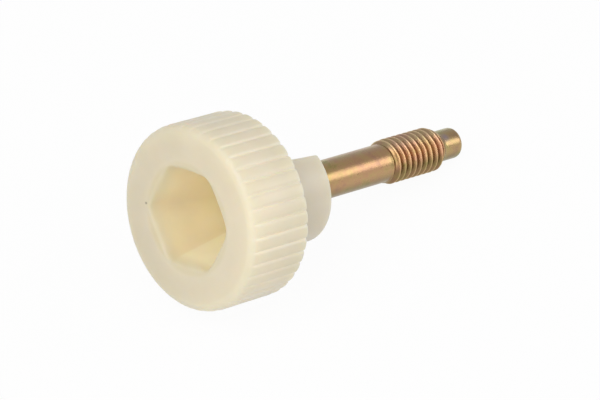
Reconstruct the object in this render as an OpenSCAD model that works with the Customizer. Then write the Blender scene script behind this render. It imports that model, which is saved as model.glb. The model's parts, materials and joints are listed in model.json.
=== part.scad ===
// Knurled thumb screw: a moulded nylon knob on a steel stud with a dog point.
// It lies on its side, as it comes to rest: the rim's rear edge and the stud's tip touch the floor.
// +X runs from the knob to the tip, +Z is up, and the origin is the centre of the floor under it.
// Each piece is drawn along its own +Z axis, from the knob's front face at 0, and then laid down.

/* [Rim] */
// Diameter over the ribs
rim_d = 24; // [20:0.5:30]
// Length along the screw's axis
rim_len = 9.5; // [8:0.5:12]
// Number of ribs, odd so that the rim lies on two of them
rib_count = 41; // [31:2:51]
// Depth of the notches between the ribs
notch_depth = 0.36; // [0.2:0.02:0.5]
// Rounding of the front edge
front_round = 1.2; // [0.6:0.1:1.8]
// Rounding of the rear edge
rear_round = 0.3; // [0.1:0.1:0.6]

/* [Hub] */
// Diameter of the hub behind the rim
hub_d = 14; // [13.6:0.2:16]
// Length of the hub behind the rim
hub_len = 9.1; // [8.8:0.1:12]
// Rounding of the hub's end
hub_round = 0.4; // [0.2:0.1:1]
// Distance from the axis to the flat, at the hub's end
flat_reach = 3.3; // [3.2:0.1:5]
// Length of the flat along the axis
flat_len = 4.9; // [2:0.1:5.2]
// Draft angle of the flat
flat_draft = 4; // [0:1:6]
// Turn of the flat about the axis, from the top
flat_turn = -39; // [-90:1:90]

/* [Recess] */
// Width across the flats of the hexagonal recess, at the front face
recess_af = 12.4; // [11:0.1:13]
// Depth from the front face
recess_depth = 9.8; // [7:0.1:10]
// Draft angle of each wall
recess_draft = 13; // [5:1:14]
// Rounding of the corners between the walls
recess_round = 1.9; // [0.5:0.1:2]
// Diameter of the countersunk mouth
mouth_d = 15.2; // [14.6:0.1:16]
// Angle between the mouth's cone and the front face
mouth_angle = 18; // [10:1:30]
// Turn of the recess about the axis, from the top
recess_turn = 15; // [-30:1:30]

/* [Stud] */
// Diameter of the plain shank
shank_d = 5.1; // [4.6:0.1:5.6]
// Length of the plain shank outside the hub
shank_len = 15.4; // [8:0.1:30]
// Outer diameter of the thread
thread_d = 6; // [5.8:0.1:6]
// Length of the full thread
thread_len = 8.1; // [5:0.1:20]
// Length of the thread's run-out on the shank
runout_len = 1.2; // [0.6:0.1:2]
// Length of the tapered lead before the dog point
lead_len = 1.4; // [0.8:0.1:2]
// Diameter of the dog point
dog_d = 4.15; // [3.6:0.05:4.5]
// Length of the dog point
dog_len = 3.4; // [1.5:0.1:5]
// Rounding of the dog point's end
dog_round = 0.6; // [0.2:0.1:1]

/* [Stud's head inside the knob] */
// Width across the flats of the head
head_af = 10; // [8:0.1:10.5]
// Thickness of the head
head_h = 1.8; // [1.2:0.1:2.4]
// Thickness of the knob between the recess and the head
floor_t = 0.9; // [0.6:0.1:1.2]

/* [Hidden] */
$fn = 96;
// Spare length by which a cutting shape passes the face that it cuts
over = 1;

rim_r = rim_d / 2;
hub_r = hub_d / 2;
shank_r = shank_d / 2;
thread_r = thread_d / 2;
dog_r = dog_d / 2;
mouth_r = mouth_d / 2;

// Places along the axis, from the front face
hub_end = rim_len + hub_len;
head_z = recess_depth + floor_t;
shank_end = hub_end + shank_len;
thread_start = shank_end + runout_len;
thread_end = thread_start + thread_len;
lead_end = thread_end + lead_len;
tip = lead_end + dog_len;

// Ribs: equal round lobes that meet in notches of the given depth
half_pitch = 180 / rib_count;
notch_r = rim_r - notch_depth;
lobe_place = (rim_r^2 - notch_r^2) / (2 * (rim_r - notch_r * cos(half_pitch)));
lobe_r = rim_r - lobe_place;

// Lowest reach of the two ribs on which the rim lies, one on each side of a notch
rest_r = lobe_place * cos(half_pitch) + lobe_r;

// Slope of the line under the rim's rear edge and under a rounded corner nearer the tip
function slope_to(z, r, round) =
    let (along = (z - round) - (rim_len - rear_round))
    let (down = (rest_r - rear_round) - (r - round))
    atan2(down, along) + asin((rear_round - round) / norm([along, down]));

// The screw tips forward until the first of these corners meets the floor
tilt = min(
    slope_to(hub_end, hub_r, hub_round),
    slope_to(thread_end, thread_r, 0),
    slope_to(tip, dog_r, dog_round)
);

// Where the centre of the front face is when the screw lies on the floor
face_height = (rim_len - rear_round) * sin(tilt) + (rest_r - rear_round) * cos(tilt) + rear_round;
back_reach = (rest_r - front_round) * sin(tilt) + front_round * (1 - cos(tilt));
front_reach = (tip - dog_round) * cos(tilt) + (dog_r - dog_round) * sin(tilt) + dog_round;
face_place = (back_reach - front_reach) / 2;

// Lays a piece down from its own axis: its +X side comes on top
module laid_down() {
    translate([face_place, 0, face_height])
        rotate([0, 90 + tilt, 0])
            rotate([0, 0, 180])
                children();
}

// Half section of a disc from z = 0 to length, with its two outer edges rounded
module disc_section(r, length, low_round, high_round) {
    translate([0, low_round]) square([r, length - low_round - high_round]);
    translate([r - low_round, low_round]) circle(low_round);
    translate([r - high_round, length - high_round]) circle(high_round);
    translate([0, length / 2]) square([r - high_round, length / 2]);
    square([r - low_round, length / 2]);
}

// Ribbed rim with its edges rounded
module rim() {
    intersection() {
        rotate_extrude() disc_section(rim_r, rim_len, front_round, rear_round);
        linear_extrude(rim_len) {
            circle(lobe_place);
            for (i = [0 : rib_count - 1])
                rotate(2 * half_pitch * i) translate([lobe_place, 0]) circle(lobe_r);
        }
    }
}

// Slab with sloping sides that bounds two opposite walls of the recess
module recess_slab() {
    near = recess_af / 2 + over * tan(recess_draft);
    far = recess_af / 2 - recess_depth * tan(recess_draft);
    rotate([90, 0, 0])
        linear_extrude(2 * rim_d, center = true)
            polygon([[-near, -over], [near, -over], [far, recess_depth], [-far, recess_depth]]);
}

// Tapered hexagonal recess with rounded corners and a countersunk mouth
module recess() {
    corner_r = recess_af / 2 / cos(30) - recess_round * (1 / cos(30) - 1);
    corner_slope = tan(recess_draft) / cos(30);
    rotate(recess_turn + 30)
        intersection() {
            recess_slab();
            rotate(60) recess_slab();
            rotate(120) recess_slab();
            translate([0, 0, -over])
                cylinder(
                    h = over + recess_depth,
                    r1 = corner_r + over * corner_slope,
                    r2 = corner_r - recess_depth * corner_slope
                );
        }
    mouth_depth = mouth_r * tan(mouth_angle);
    translate([0, 0, -over])
        cylinder(h = over + mouth_depth, r1 = mouth_r + over / tan(mouth_angle), r2 = 0);
}

// Side of the hub that is cut away down to the flat
module flat_cut() {
    deep = flat_reach + flat_len * tan(flat_draft);
    past = flat_reach - over * tan(flat_draft);
    rotate(flat_turn)
        rotate([90, 0, 0])
            linear_extrude(2 * hub_d, center = true)
                polygon([
                    [deep, hub_end - flat_len],
                    [hub_d, hub_end - flat_len],
                    [hub_d, hub_end + over],
                    [past, hub_end + over]
                ]);
}

// Round hub with one flat, from the middle of the rim to its rounded end
module hub() {
    root = rim_len / 2;
    difference() {
        translate([0, 0, root])
            rotate_extrude() disc_section(hub_r, hub_end - root, 0, hub_round);
        flat_cut();
    }
}

// Hexagonal head of the stud, which the knob is moulded round
module stud_head() {
    translate([0, 0, head_z])
        cylinder(h = head_h, d = head_af / cos(30), $fn = 6);
}

// Shank, thread and dog point as one turned outline
module stud_body() {
    translate([0, 0, head_z]) cylinder(h = shank_end - head_z, r = shank_r);
    translate([0, 0, shank_end]) cylinder(h = runout_len, r1 = shank_r, r2 = thread_r);
    translate([0, 0, thread_start]) cylinder(h = thread_len, r = thread_r);
    translate([0, 0, thread_end]) cylinder(h = lead_len, r1 = thread_r, r2 = dog_r);
    translate([0, 0, lead_end]) rotate_extrude() disc_section(dog_r, dog_len, 0, dog_round);
}

module threaded_stud() {
    color([0.74, 0.59, 0.40]) laid_down() {
        stud_head();
        stud_body();
    }
}

module knurled_knob() {
    color([0.90, 0.86, 0.76]) laid_down() difference() {
        union() {
            rim();
            hub();
        }
        recess();
        stud_head();
        stud_body();
    }
}

knurled_knob();
threaded_stud();
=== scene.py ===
"""Looks of the knurled thumb screw: a moulded nylon knob on a yellow-plated steel stud.

Sizes are in millimetres and angles in degrees, in the screw's own terms: t runs along the axis from the
knob's front face to the tip, r is the distance from the axis, and an angle turns about the axis from its
upper side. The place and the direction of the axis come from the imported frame.
"""
import json
import math

import bpy
from mathutils import Matrix, Vector


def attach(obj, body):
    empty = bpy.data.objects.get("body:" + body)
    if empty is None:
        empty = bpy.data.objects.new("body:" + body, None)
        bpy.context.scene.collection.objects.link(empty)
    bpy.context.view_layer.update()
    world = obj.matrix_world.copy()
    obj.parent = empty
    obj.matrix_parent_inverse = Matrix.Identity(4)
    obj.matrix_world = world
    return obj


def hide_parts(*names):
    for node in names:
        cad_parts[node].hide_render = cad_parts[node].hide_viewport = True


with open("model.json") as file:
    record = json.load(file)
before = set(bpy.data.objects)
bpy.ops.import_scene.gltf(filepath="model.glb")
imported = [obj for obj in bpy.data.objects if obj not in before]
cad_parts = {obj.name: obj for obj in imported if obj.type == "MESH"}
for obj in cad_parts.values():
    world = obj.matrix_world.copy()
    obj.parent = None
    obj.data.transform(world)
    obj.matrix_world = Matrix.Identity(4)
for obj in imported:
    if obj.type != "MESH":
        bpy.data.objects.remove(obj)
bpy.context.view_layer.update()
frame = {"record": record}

# One millimetre in the frame's metres
MM = 0.001

# Rim. Notches are measured along its outside.
# A soft value, here and below, is how near the radii of two outlines come before they blend
RIM_R = 12.0
RIM_LEN = 9.5
RIB_COUNT = 41
NOTCH_DEPTH = 0.24
CROWN_DROP = 0.10
GROOVE_HALF = 0.30
NOTCH_SOFT = 0.22
FRONT_ROUND = 1.2
REAR_ROUND = 0.3

# Hub. The flat's reach is from the axis at the hub's end, and its turn is the angle that it faces
HUB_R = 7.0
HUB_LEN = 9.1
HUB_ROUND = 0.4
HUB_FILLET = 0.5
FLAT_REACH = 3.3
FLAT_LEN = 4.9
FLAT_DRAFT = 4.0
FLAT_TURN = -39.0
FLAT_EDGE_SOFT = 0.5
SHOULDER_SLOPE = 0.15
SHOULDER_ROUND = 0.12

# Recess. Its edge is worn round on one side of the mouth
RECESS_AF = 12.4
RECESS_DEPTH = 9.8
RECESS_DRAFT = 13.0
RECESS_ROUND = 1.9
RECESS_CORNER_SOFT = 0.25
RECESS_TURN = 15.0
MOUTH_R = 7.6
MOUTH_ANGLE = 12.0
MOUTH_EDGE = 0.35
WALL_EDGE = 0.5
WALL_EDGE_WORN = 2.2
WORN_TURN = 255.0
FLOOR_EDGE = 0.4

# Stud, with a metric thread. Its head lies in a cavity of the knob
SHANK_R = 2.55
SHANK_LEN = 15.4
THREAD_R = 3.0
THREAD_PITCH = 1.0
THREAD_DEPTH = 0.6134 * THREAD_PITCH
THREAD_CREST_HALF = THREAD_PITCH / 16
THREAD_FLANK = 30.0
THREAD_LEN = 8.1
THREAD_SOFT = 0.05
RUNOUT_LEN = 1.2
LEAD_LEN = 1.4
DOG_R = 2.075
DOG_LEN = 3.4
DOG_ROUND = 0.6
HEAD_AF = 10.0
HEAD_H = 1.8
FLOOR_T = 0.9
CAVITY_GAP = 0.02
BORE_EDGE = 0.12

# Places along the axis
HUB_END = RIM_LEN + HUB_LEN
HEAD_T = RECESS_DEPTH + FLOOR_T
HEAD_END = HEAD_T + HEAD_H
SHANK_END = HUB_END + SHANK_LEN
THREAD_START = SHANK_END + RUNOUT_LEN
THREAD_END = THREAD_START + THREAD_LEN
LEAD_END = THREAD_END + LEAD_LEN
TIP = LEAD_END + DOG_LEN

# Half of the angle from one rib to the next, and from one corner of a hexagon to the next
HALF_PITCH = 180 / RIB_COUNT
HEX_HALF = 30.0

# Colours of the knob. A turn is the angle at the middle of a coloured side, a half is half its width,
# and over a fade the colour passes into the next. The speck's place is (t, r, angle)
CREAM = (0.74, 0.67, 0.515)
# Painted light: the front of the knob is made lighter towards one side, where the light falls
SIDE_PAINTED_LIGHT = 0.08
PAINTED_LIGHT_TURN = 65.0
PAINTED_LIGHT_START = 4.0
PAINTED_LIGHT_END = 8.0
# Painted light: thin lighter lines along the notches, standing in for their highlights
NOTCH_PAINTED_LIGHT = (0.82, 0.76, 0.635)
NOTCH_LIGHT_SPAN = 1.8
# Painted shade and bounce light: the recess is warm and a little darker at its mouth, and warm and
# saturated deeper in
MOUTH_PAINTED_SHADE = (0.71, 0.635, 0.455)
MOUTH_FADE = 0.6
RECESS_PAINTED_BOUNCE = (0.88, 0.785, 0.54)
WARM_DEPTH = 2.4
# Painted light: a paler wedge on the recess's lower wall, where light falls in from above
LOW_WALL_PAINTED_LIGHT = (0.935, 0.87, 0.65)
LOW_WALL_TURN = 150.0
LOW_WALL_HALF = 41.0
LOW_WALL_FADE = 4.0
# Painted bounce light: the deep warm tone of the recess floor
RECESS_FLOOR_PAINTED_BOUNCE = (0.97, 0.77, 0.46)
FLOOR_FADE = 1.0
# Painted shade: the hub behind the rim is greyer, as it gets less light
HUB_PAINTED_SHADE = (0.70, 0.64, 0.525)
HUB_FADE = 0.8
SPECK_BROWN = (0.16, 0.12, 0.08)
SPECK_R = 0.24
SPECK_PLACE = (0.02, 7.58, -101.9)

# Colours of the stud, from the hub to the tip. The painted light of its upper side and the painted shade
# of its underside multiply the plating's colour. The bare patch's place is (t, angle)
PLATING_YELLOW = (0.43, 0.35, 0.16)
PLATING_GOLD = (0.48, 0.34, 0.195)
PLATING_COPPER = (0.50, 0.34, 0.20)
PLATING_OLIVE = (0.44, 0.355, 0.185)
ROOT_BROWN = (0.45, 0.29, 0.17)
ROOT_DEPTH = 0.18
# Painted highlight along the thread's crests: how much lighter, and the depth it reaches
CREST_PAINTED_HIGHLIGHT = 0.7
CREST_DEPTH = 0.10
# Painted shade on the underside and painted light on the upper side
PAINTED_UNDERSIDE_SHADE = (0.58, 0.65, 0.58)
UNDERSIDE_TURN = 160.0
PAINTED_UPPER_LIGHT = (1.0, 1.2, 1.4)
UPPER_TURN = -60.0
SIDE_HALF = 80.0
THREAD_SIDE_HALF = 100.0
SIDE_FADE = 35.0
BARE_GREY = (0.40, 0.38, 0.37)
BARE_PLACE = (45.3, 24.0)
BARE_R = 1.0

# Mesh density. Each row of points counts those on the straight stretches of a section, in order
COLUMNS_PER_RIB = 14
STUD_COLUMNS = 144
STEPS_PER_PITCH = 22
ARC_STEPS = 6
FILLET_STEPS = 12
OUTSIDE_POINTS = (1, 1, 1, 2, 3, 4, 0, 3, 5, 8)
RECESS_POINTS = (8, 2, 14, 6)
SHANK_POINTS = (1, 1, 1, 24)
DOG_POINTS = (8, 5)

# Largest share of a stretch that one rounded corner takes
MAX_CUT = 0.45

# Halvings in the search for the corner between mouth and recess
BISECTIONS = 24

# Name of the colour that each mesh carries at its points
TINT = "tint"

# The screw's axis in the frame
thread_mount = next(m for m in frame["record"]["mounts"] if m["name"] == "thread")
AXIS = Vector(thread_mount["axis"]).normalized()
SIDE = Vector((0, -1, 0))
TOP = SIDE.cross(AXIS)
FACE = Vector(thread_mount["pos_m"]) - AXIS * (THREAD_START + THREAD_LEN / 2) * MM


# Shape helpers

def spot(t, r, angle):
    """Point of the frame at a place of the screw."""
    turn = math.radians(angle)
    return FACE + MM * (t * AXIS + r * (math.cos(turn) * TOP + math.sin(turn) * SIDE))


def smooth_min(a, b, width):
    """The lower of two values, rounded where they cross."""
    mix = max(width - abs(a - b), 0) / width
    return min(a, b) - mix * mix * width / 4


def smooth_max(a, b, width):
    """The higher of two values, rounded where they cross."""
    return -smooth_min(-a, -b, width)


def smooth_step(x):
    """Soft ramp from 0 to 1."""
    x = min(max(x, 0), 1)
    return x * x * (3 - 2 * x)


def mixed(a, b, share):
    """Colour between two colours."""
    return tuple(a[i] + (b[i] - a[i]) * share for i in range(3))


def wrapped(angle, period):
    """Angle brought to within half a period of zero."""
    return (angle + period / 2) % period - period / 2


def polygon_radius(angle, reach, corner_round):
    """Radius of a hexagon with rounded corners, with a corner at angle zero."""
    from_flat = abs(wrapped(angle - HEX_HALF, 2 * HEX_HALF))
    straight_half = (reach - corner_round) * math.tan(math.radians(HEX_HALF))
    tangent = math.degrees(math.atan(straight_half / reach))
    if from_flat <= tangent:
        return reach / math.cos(math.radians(from_flat))
    centre = (reach - corner_round) / math.cos(math.radians(HEX_HALF))
    off = math.radians(HEX_HALF - from_flat)
    return centre * math.cos(off) + math.sqrt(corner_round ** 2 - (centre * math.sin(off)) ** 2)


def between(a, b, count):
    """Evenly spaced points strictly between two points of a section."""
    return [
        (a[0] + (b[0] - a[0]) * i / (count + 1), a[1] + (b[1] - a[1]) * i / (count + 1))
        for i in range(1, count + 1)
    ]


def rounded_path(corners, counts):
    """Section through (t, r, rounding) corners. counts gives the points on each straight stretch."""
    path = [corners[0][:2]]
    for i in range(1, len(corners)):
        start = path[-1]
        if i == len(corners) - 1:
            path += between(start, corners[i], counts[i - 1])
            path.append(corners[i][:2])
            break
        before, here, after = corners[i - 1], corners[i], corners[i + 1]
        back = math.dist(before[:2], here[:2])
        ahead = math.dist(here[:2], after[:2])
        cut_in = min(here[2] / back, MAX_CUT)
        cut_out = min(here[2] / ahead, MAX_CUT)
        enter = tuple(here[j] + (before[j] - here[j]) * cut_in for j in range(2))
        leave = tuple(here[j] + (after[j] - here[j]) * cut_out for j in range(2))
        path += between(start, enter, counts[i - 1])
        for k in range(ARC_STEPS + 1):
            s = k / ARC_STEPS
            weights = ((1 - s) ** 2, 2 * s * (1 - s), s ** 2)
            path.append(tuple(
                weights[0] * enter[j] + weights[1] * here[j] + weights[2] * leave[j] for j in range(2)
            ))
    return path


def turned_mesh(name, angles, section, tint):
    """Closed mesh from one section per angle, with a tint at each point.

    Each section starts and ends on the axis, so its two ends are shared by all angles.
    """
    sections = [section(angle) for angle in angles]
    rings = len(sections[0]) - 2
    places = [(*sections[0][0], 0), (*sections[0][-1], 0)]
    for angle, path in zip(angles, sections):
        places += [(t, r, angle) for t, r in path[1:-1]]
    faces = []
    for i in range(len(angles)):
        here = 2 + i * rings
        near = 2 + (i + 1) % len(angles) * rings
        faces.append((0, here, near))
        faces += [(here + k, here + k + 1, near + k + 1, near + k) for k in range(rings - 1)]
        faces.append((here + rings - 1, 1, near + rings - 1))
    mesh = bpy.data.meshes.new(name)
    mesh.from_pydata([spot(*place) for place in places], [], faces)
    mesh.polygons.foreach_set("use_smooth", [True] * len(mesh.polygons))
    colours = mesh.attributes.new(TINT, "FLOAT_COLOR", "POINT")
    colours.data.foreach_set("color", [part for place in places for part in (*tint(*place), 1)])
    mesh.update()
    piece = bpy.data.objects.new(name, mesh)
    bpy.context.scene.collection.objects.link(piece)
    return piece


# Knob

def rib_radius(angle):
    """Outline of the rim: low crowned ribs with a narrow notch between each two."""
    from_crest = abs(wrapped(angle, 2 * HALF_PITCH))
    from_notch = RIM_R * math.radians(HALF_PITCH - from_crest)
    crown = CROWN_DROP * (from_crest / HALF_PITCH) ** 2
    groove = (NOTCH_DEPTH - CROWN_DROP) * smooth_step(1 - from_notch / GROOVE_HALF)
    return RIM_R - crown - groove


def hub_radius(t, angle):
    """Outline of the hub where it has its flat."""
    across = math.cos(math.radians(wrapped(angle - FLAT_TURN, 360)))
    flat = FLAT_REACH + (HUB_END - t) * math.tan(math.radians(FLAT_DRAFT))
    # Well clear of the flat the hub is round
    if across * HUB_R * 2 < flat:
        return HUB_R
    return smooth_min(HUB_R, flat / across, FLAT_EDGE_SOFT)


def recess_radius(t, angle):
    """Outline of the tapered recess at a depth."""
    to_corner = 1 / math.cos(math.radians(HEX_HALF))
    reach = RECESS_AF / 2 - t * math.tan(math.radians(RECESS_DRAFT))
    corner_reach = reach * to_corner - RECESS_ROUND * (to_corner - 1)
    from_flat = wrapped(angle - RECESS_TURN - HEX_HALF, 2 * HEX_HALF)
    return smooth_min(reach / math.cos(math.radians(from_flat)), corner_reach, RECESS_CORNER_SOFT)


def mouth_corner(angle):
    """Where the mouth's cone meets the recess wall, by bisection along the wall."""
    low, high = 0.0, RECESS_DEPTH
    for _ in range(BISECTIONS):
        t = (low + high) / 2
        cone_r = MOUTH_R - t / math.tan(math.radians(MOUTH_ANGLE))
        if cone_r > recess_radius(t, angle):
            low = t
        else:
            high = t
    return t, recess_radius(t, angle)


def knob_section(angle):
    """Section of the knob from the stud's cavity round the outside to the floor of the recess."""
    head_r = polygon_radius(angle, HEAD_AF / 2 + CAVITY_GAP, CAVITY_GAP)
    bore_r = SHANK_R + CAVITY_GAP
    shoulder = HUB_END - FLAT_LEN
    rib_r = rib_radius(angle)
    path = rounded_path(
        [
            (HEAD_T - CAVITY_GAP, 0, 0),
            (HEAD_T - CAVITY_GAP, head_r, 0),
            (HEAD_END + CAVITY_GAP, head_r, 0),
            (HEAD_END + CAVITY_GAP, bore_r, 0),
            (HUB_END, bore_r, BORE_EDGE),
            (HUB_END, hub_radius(HUB_END, angle), HUB_ROUND),
            (shoulder + SHOULDER_SLOPE, hub_radius(shoulder, angle), SHOULDER_ROUND),
            (shoulder - SHOULDER_SLOPE, HUB_R, SHOULDER_ROUND),
            (RIM_LEN, HUB_R, HUB_FILLET),
            (RIM_LEN, rib_r, REAR_ROUND),
            (FRONT_ROUND, rib_r, 0),
        ],
        OUTSIDE_POINTS,
    )
    for k in range(1, FILLET_STEPS + 1):
        turn = math.radians(90 * k / FILLET_STEPS)
        fillet_r = RIM_R - FRONT_ROUND + FRONT_ROUND * math.cos(turn)
        path.append((FRONT_ROUND * (1 - math.sin(turn)), smooth_min(fillet_r, rib_r, NOTCH_SOFT)))
    corner_t, corner_r = mouth_corner(angle)
    # Fully worn up to 60 degrees from the middle of the worn side, and not past 120
    worn = smooth_step(0.5 + math.cos(math.radians(angle - WORN_TURN)))
    wall_edge = WALL_EDGE + (WALL_EDGE_WORN - WALL_EDGE) * worn
    path += rounded_path(
        [
            (*path[-1], 0),
            (0, MOUTH_R, MOUTH_EDGE),
            (corner_t, corner_r, wall_edge),
            (RECESS_DEPTH, recess_radius(RECESS_DEPTH, angle), FLOOR_EDGE),
            (RECESS_DEPTH, 0, 0),
        ],
        RECESS_POINTS,
    )[1:]
    return path


def nylon_colour(t, r, angle):
    """Colour of the nylon: painted light in the notches and on the recess's lower wall, painted warm
    shade and bounce light inside the recess, and painted shade on the hub.
    """
    recess_reach = MOUTH_R - t * math.tan(math.radians(RECESS_DRAFT))
    if t <= RECESS_DEPTH and r < recess_reach:
        # Painted light on the lower wall of the recess
        from_low_wall = abs(wrapped(angle - LOW_WALL_TURN, 360)) - LOW_WALL_HALF
        wall = mixed(LOW_WALL_PAINTED_LIGHT, RECESS_PAINTED_BOUNCE, smooth_step(0.5 + from_low_wall / LOW_WALL_FADE))
        # Painted bounce light and shade, warmest on the floor and a little darker at the mouth
        wall = mixed(RECESS_FLOOR_PAINTED_BOUNCE, wall, smooth_step((RECESS_DEPTH - t) / FLOOR_FADE))
        mouth = mixed(CREAM, MOUTH_PAINTED_SHADE, smooth_step((MOUTH_R - r) / MOUTH_FADE))
        return mixed(mouth, wall, smooth_step(t / WARM_DEPTH))
    if t > RIM_LEN:
        # Painted shade on the hub
        return mixed(CREAM, HUB_PAINTED_SHADE, smooth_step((t - RIM_LEN) / HUB_FADE))
    if r < RIM_R - FRONT_ROUND:
        return CREAM
    # Painted light along the notches
    from_notch = HALF_PITCH - abs(wrapped(angle, 2 * HALF_PITCH))
    ends = smooth_step(t / FRONT_ROUND) * smooth_step((RIM_LEN - t) / REAR_ROUND)
    pale = smooth_step(1 - from_notch / NOTCH_LIGHT_SPAN) * ends
    return mixed(CREAM, NOTCH_PAINTED_LIGHT, pale)


def knob_tint(t, r, angle):
    """The nylon's colour with painted light towards one side, and a dark speck of dirt on the mouth."""
    share = r / RIM_R * smooth_step((PAINTED_LIGHT_END - t) / (PAINTED_LIGHT_END - PAINTED_LIGHT_START))
    # Painted light, lighter towards one side
    side_light = 1 + SIDE_PAINTED_LIGHT * share * math.cos(math.radians(angle - PAINTED_LIGHT_TURN))
    colour = tuple(part * side_light for part in nylon_colour(t, r, angle))
    from_speck = (spot(t, r, angle) - spot(*SPECK_PLACE)).length / MM
    return mixed(SPECK_BROWN, colour, smooth_step(from_speck / SPECK_R))


def build_knob():
    """Knob with its columns gathered at the notches, where the rim turns sharply."""
    angles = []
    for rib in range(RIB_COUNT):
        for k in range(COLUMNS_PER_RIB):
            share = (1 - math.cos(math.pi * k / COLUMNS_PER_RIB)) / 2
            angles.append((2 * (rib + share) - 1) * HALF_PITCH)
    return turned_mesh("moulded_knob", angles, knob_section, knob_tint)


# Stud

def thread_radius(t, angle):
    """Rolled right-hand thread with rounded crests and roots."""
    from_crest = abs(wrapped(t / THREAD_PITCH - angle / 360, 1)) * THREAD_PITCH
    flank = THREAD_R - (from_crest - THREAD_CREST_HALF) / math.tan(math.radians(THREAD_FLANK))
    return smooth_max(smooth_min(flank, THREAD_R, THREAD_SOFT), THREAD_R - THREAD_DEPTH, THREAD_SOFT)


def run_out(t):
    """How far the thread has grown out of the shank, from 0 to 1."""
    return smooth_step((t - SHANK_END) / RUNOUT_LEN)


def lead_radius(t):
    """Radius of the tapered lead, carried on past both its ends."""
    return THREAD_R - (t - THREAD_END) * (THREAD_R - DOG_R) / LEAD_LEN


def stud_crest(t):
    """Radius over the thread's crests, with its run-out and lead."""
    return min(SHANK_R + (THREAD_R - SHANK_R) * run_out(t), lead_radius(t))


def stud_radius(t, angle):
    """Run-out, thread and lead as one outline."""
    r = SHANK_R + (thread_radius(t, angle) - SHANK_R) * run_out(t)
    return smooth_min(r, lead_radius(t), THREAD_SOFT)


def stud_section(angle):
    """Section of the stud from the middle of its head to the middle of its tip."""
    head_r = polygon_radius(angle, HEAD_AF / 2, CAVITY_GAP)
    path = rounded_path(
        [
            (HEAD_T, 0, 0),
            (HEAD_T, head_r, 0),
            (HEAD_END, head_r, 0),
            (HEAD_END, SHANK_R, 0),
            (SHANK_END, SHANK_R, 0),
        ],
        SHANK_POINTS,
    )
    steps = round((LEAD_END - SHANK_END) / THREAD_PITCH * STEPS_PER_PITCH)
    for k in range(1, steps):
        t = SHANK_END + (LEAD_END - SHANK_END) * k / steps
        path.append((t, stud_radius(t, angle)))
    path += rounded_path(
        [
            (LEAD_END, DOG_R, 0),
            (TIP, DOG_R, DOG_ROUND),
            (TIP, 0, 0),
        ],
        DOG_POINTS,
    )
    return path


def stud_tint(t, r, angle):
    """Colour of the plating along the stud, with painted light on its upper side and painted shade on
    its underside.

    The thread has a painted highlight on its crests and is brown below them, and one patch of the dog
    point is bare.
    """
    colour = mixed(PLATING_YELLOW, PLATING_GOLD, smooth_step((t - HUB_END) / (SHANK_LEN / 2)))
    colour = mixed(colour, PLATING_COPPER, run_out(t))
    colour = mixed(colour, PLATING_OLIVE, smooth_step((t - THREAD_END) / LEAD_LEN))
    threaded = run_out(t) * smooth_step((LEAD_END - t) / LEAD_LEN)
    if SHANK_END < t < LEAD_END:
        depth = stud_crest(t) - r
        # Painted highlight on the crests
        crest_highlight = 1 + CREST_PAINTED_HIGHLIGHT * threaded * (1 - smooth_step(depth / CREST_DEPTH))
        colour = tuple(part * crest_highlight for part in colour)
        colour = mixed(colour, ROOT_BROWN, smooth_step(depth / ROOT_DEPTH))
    half = SIDE_HALF + (THREAD_SIDE_HALF - SIDE_HALF) * threaded
    # Painted shade on the underside and painted light on the upper side
    for side, turn in ((PAINTED_UNDERSIDE_SHADE, UNDERSIDE_TURN), (PAINTED_UPPER_LIGHT, UPPER_TURN)):
        share = smooth_step((half - abs(wrapped(angle - turn, 360))) / SIDE_FADE)
        colour = tuple(part * (1 + share * (change - 1)) for part, change in zip(colour, side))
    patch_t, patch_angle = BARE_PLACE
    round_axis = r * math.radians(wrapped(angle - patch_angle, 360))
    from_patch = math.hypot(t - patch_t, round_axis)
    return mixed(BARE_GREY, colour, smooth_step(from_patch / BARE_R))


def build_stud():
    """Stud with its thread cut as a true helix."""
    angles = [360 * i / STUD_COLUMNS for i in range(STUD_COLUMNS)]
    return turned_mesh("plated_stud", angles, stud_section, stud_tint)


# Materials. A scale is the cells of a noise in one metre, and a ramp's stops are (place, colour) pairs

CLOUD_SCALE = 260
CLOUD_STOPS = (
    (0.3, (0.96, 0.96, 0.94)),
    (0.7, (1.0, 1.0, 1.0)),
)
NYLON_ROUGHNESS = 0.38
NYLON_IOR = 1.53
NYLON_DEPTH_SHARE = 0.85
LIGHT_REACH = 4.5
LIGHT_REACH_RGB = (1.0, 0.8, 0.5)
NYLON_GRAIN_SCALE = 4200
NYLON_GRAIN_HEIGHT = 0.02
NYLON_GRAIN_STRENGTH = 0.25

HUE_SCALE = 420
HUE_STOPS = (
    (0.30, (0.70, 0.80, 0.52)),
    (0.44, (1.0, 0.94, 0.78)),
    (0.56, (1.0, 0.82, 0.80)),
    (0.70, (0.80, 0.66, 0.78)),
)
WEAR_SCALE = 900
STEEL_SMOOTHEST = 0.18
STEEL_ROUGHEST = 0.42
STEEL_GRAIN_SCALE = 3000
STEEL_GRAIN_HEIGHT = 0.035
STEEL_GRAIN_STRENGTH = 0.3


def new_material(name):
    """New node material, its node tree and its Principled shader."""
    material = bpy.data.materials.new(name)
    material.use_nodes = True
    shader = next(n for n in material.node_tree.nodes if n.type == "BSDF_PRINCIPLED")
    return material, material.node_tree, shader


def noise(tree, coordinates, scale, detail, roughness=0.5):
    """Noise texture on the given coordinates."""
    node = tree.nodes.new("ShaderNodeTexNoise")
    node.inputs["Scale"].default_value = scale
    node.inputs["Detail"].default_value = detail
    node.inputs["Roughness"].default_value = roughness
    tree.links.new(coordinates, node.inputs["Vector"])
    return node.outputs["Fac"]


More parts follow.
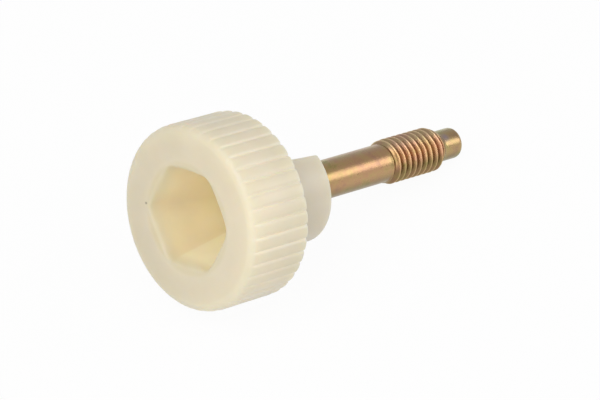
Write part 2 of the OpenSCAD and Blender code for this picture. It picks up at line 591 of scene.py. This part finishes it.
def ramp(tree, value, stops):
    """Colour ramp through (place, colour) stops."""
    node = tree.nodes.new("ShaderNodeValToRGB")
    while len(node.color_ramp.elements) < len(stops):
        node.color_ramp.elements.new(0.5)
    for element, (place, colour) in zip(node.color_ramp.elements, stops):
        element.position = place
        element.color = (*colour, 1)
    tree.links.new(value, node.inputs["Fac"])
    return node.outputs["Color"]


def tinted(tree, colour):
    """The mesh's own tint times a colour."""
    tint = tree.nodes.new("ShaderNodeAttribute")
    tint.attribute_name = TINT
    mix = tree.nodes.new("ShaderNodeMix")
    mix.data_type = "RGBA"
    mix.blend_type = "MULTIPLY"
    mix.inputs["Factor"].default_value = 1.0
    tree.links.new(tint.outputs["Color"], mix.inputs["A"])
    tree.links.new(colour, mix.inputs["B"])
    return mix.outputs["Result"]


def bump(tree, shader, height, distance, strength):
    """Bump on a shader, with its full height as a distance in metres."""
    node = tree.nodes.new("ShaderNodeBump")
    node.inputs["Distance"].default_value = distance
    node.inputs["Strength"].default_value = strength
    tree.links.new(height, node.inputs["Height"])
    tree.links.new(node.outputs["Normal"], shader.inputs["Normal"])


def nylon():
    """Natural nylon: cream, satin, with light passing into it."""
    material, tree, shader = new_material("natural_nylon")
    place = tree.nodes.new("ShaderNodeTexCoord").outputs["Object"]
    cloud = noise(tree, place, CLOUD_SCALE, detail=4)
    colour = tinted(tree, ramp(tree, cloud, CLOUD_STOPS))
    tree.links.new(colour, shader.inputs["Base Color"])
    shader.inputs["Roughness"].default_value = NYLON_ROUGHNESS
    shader.inputs["IOR"].default_value = NYLON_IOR
    shader.inputs["Subsurface Weight"].default_value = NYLON_DEPTH_SHARE
    shader.inputs["Subsurface Radius"].default_value = LIGHT_REACH_RGB
    shader.inputs["Subsurface Scale"].default_value = LIGHT_REACH * MM
    grain = noise(tree, place, NYLON_GRAIN_SCALE, detail=2)
    bump(tree, shader, grain, NYLON_GRAIN_HEIGHT * MM, NYLON_GRAIN_STRENGTH)
    return material


def plated_steel():
    """Yellow passivated zinc: bronze gold that drifts to pink and olive."""
    material, tree, shader = new_material("yellow_zinc_steel")
    place = tree.nodes.new("ShaderNodeTexCoord").outputs["Object"]
    hue = noise(tree, place, HUE_SCALE, detail=6, roughness=0.7)
    colour = tinted(tree, ramp(tree, hue, HUE_STOPS))
    tree.links.new(colour, shader.inputs["Base Color"])
    shader.inputs["Metallic"].default_value = 1.0
    wear = noise(tree, place, WEAR_SCALE, detail=5, roughness=0.65)
    rough = tree.nodes.new("ShaderNodeMapRange")
    rough.inputs["To Min"].default_value = STEEL_SMOOTHEST
    rough.inputs["To Max"].default_value = STEEL_ROUGHEST
    tree.links.new(wear, rough.inputs["Value"])
    tree.links.new(rough.outputs["Result"], shader.inputs["Roughness"])
    grain = noise(tree, place, STEEL_GRAIN_SCALE, detail=3)
    bump(tree, shader, grain, STEEL_GRAIN_HEIGHT * MM, STEEL_GRAIN_STRENGTH)
    return material


def dress(piece, material, node):
    """Gives a piece its material and its body, and hides the CAD part of its node."""
    piece.data.materials.append(material)
    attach(piece, "root")
    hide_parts(node)


dress(build_knob(), nylon(), "knurled_knob")
dress(build_stud(), plated_steel(), "threaded_stud")


# Stage, in metres and watts. FLOOR_WHITE is the share of plain white in the floor as it is seen directly

FLOOR_SIZE = 3.0
FLOOR_COLOUR = (0.86, 0.86, 0.86, 1)
FLOOR_ROUGHNESS = 0.9
FLOOR_WHITE = 0.95
WORLD_COLOUR = (1.0, 1.0, 1.0, 1)
WORLD_STRENGTH = 0.58

# Name, place, size and power of each lamp
LAMPS = (
    ("key", (-0.45, -0.10, 0.65), 0.5, 1.85),
    ("side", (0.67, -0.50, 0.30), 0.4, 1.1),
    ("right", (0.15, -0.65, 0.50), 0.5, 0.60),
    ("front", (-0.70, -0.40, 0.25), 0.5, 1.1),
)
LAMP_TARGET = (0, 0, 0.01)


def seen_directly(tree):
    """One for a ray from the camera, a reflection or a clear body, and zero for other rays."""
    path = tree.nodes.new("ShaderNodeLightPath")
    value = path.outputs["Is Camera Ray"]
    for name in ("Is Glossy Ray", "Is Transmission Ray"):
        join = tree.nodes.new("ShaderNodeMath")
        join.operation = "MAXIMUM"
        tree.links.new(value, join.inputs[0])
        tree.links.new(path.outputs[name], join.inputs[1])
        value = join.outputs[0]
    return value


def build_floor():
    """Pale floor that keeps the screw's soft shadow."""
    half = FLOOR_SIZE / 2
    mesh = bpy.data.meshes.new("floor")
    mesh.from_pydata(
        [(-half, -half, 0), (half, -half, 0), (half, half, 0), (-half, half, 0)], [], [(0, 1, 2, 3)]
    )
    floor = bpy.data.objects.new("floor", mesh)
    bpy.context.scene.collection.objects.link(floor)
    material, tree, shader = new_material("pale_floor")
    shader.inputs["Base Color"].default_value = FLOOR_COLOUR
    shader.inputs["Roughness"].default_value = FLOOR_ROUGHNESS
    shader.inputs["Specular IOR Level"].default_value = 0.0
    glow = tree.nodes.new("ShaderNodeEmission")
    share = tree.nodes.new("ShaderNodeMath")
    share.operation = "MULTIPLY"
    share.inputs[1].default_value = FLOOR_WHITE
    tree.links.new(seen_directly(tree), share.inputs[0])
    mix = tree.nodes.new("ShaderNodeMixShader")
    tree.links.new(share.outputs[0], mix.inputs["Fac"])
    tree.links.new(shader.outputs["BSDF"], mix.inputs[1])
    tree.links.new(glow.outputs["Emission"], mix.inputs[2])
    output = next(n for n in tree.nodes if n.type == "OUTPUT_MATERIAL")
    tree.links.new(mix.outputs["Shader"], output.inputs["Surface"])
    mesh.materials.append(material)


def build_world():
    """Even white surroundings at a low level."""
    world = bpy.data.worlds.new("studio")
    bpy.context.scene.world = world
    world.use_nodes = True
    background = next(n for n in world.node_tree.nodes if n.type == "BACKGROUND")
    background.inputs["Color"].default_value = WORLD_COLOUR
    background.inputs["Strength"].default_value = WORLD_STRENGTH


def softbox(name, place, size, power):
    """Square area lamp that faces the screw."""
    lamp = bpy.data.lights.new(name, "AREA")
    lamp.size = size
    lamp.energy = power
    holder = bpy.data.objects.new(name, lamp)
    holder.location = place
    towards = Vector(LAMP_TARGET) - Vector(place)
    holder.rotation_euler = towards.to_track_quat("-Z", "Y").to_euler()
    bpy.context.scene.collection.objects.link(holder)


# Camera, in millimetres. Its place is given by where it sees the middle of the knob's front face
CAMERA_AZIMUTH = -42.37
CAMERA_ELEVATION = 38.56
CAMERA_LENS = 202.8
CAMERA_SENSOR = 36
CAMERA_NEAR = 10.0
FACE_RIGHT = -14.08
FACE_DOWN = 2.45
FACE_AHEAD = 420.0


def build_camera():
    """Level camera at the photograph's viewing angle."""
    azimuth = math.radians(CAMERA_AZIMUTH)
    elevation = math.radians(CAMERA_ELEVATION)
    right = Vector((math.cos(azimuth), math.sin(azimuth), 0))
    ahead = Vector((
        -math.sin(azimuth) * math.cos(elevation),
        math.cos(azimuth) * math.cos(elevation),
        -math.sin(elevation),
    ))
    up = right.cross(ahead)
    data = bpy.data.cameras.new("camera")
    data.sensor_width = CAMERA_SENSOR
    data.lens = CAMERA_LENS
    data.clip_start = CAMERA_NEAR * MM
    camera = bpy.data.objects.new("camera", data)
    turn = Matrix((right, up, -ahead)).transposed().to_4x4()
    place = FACE - MM * (FACE_RIGHT * right - FACE_DOWN * up + FACE_AHEAD * ahead)
    camera.matrix_world = Matrix.Translation(place) @ turn
    bpy.context.scene.collection.objects.link(camera)
    bpy.context.scene.camera = camera


build_floor()
build_world()
for lamp_values in LAMPS:
    softbox(*lamp_values)
build_camera()
bpy.context.scene.view_settings.view_transform = "Standard"
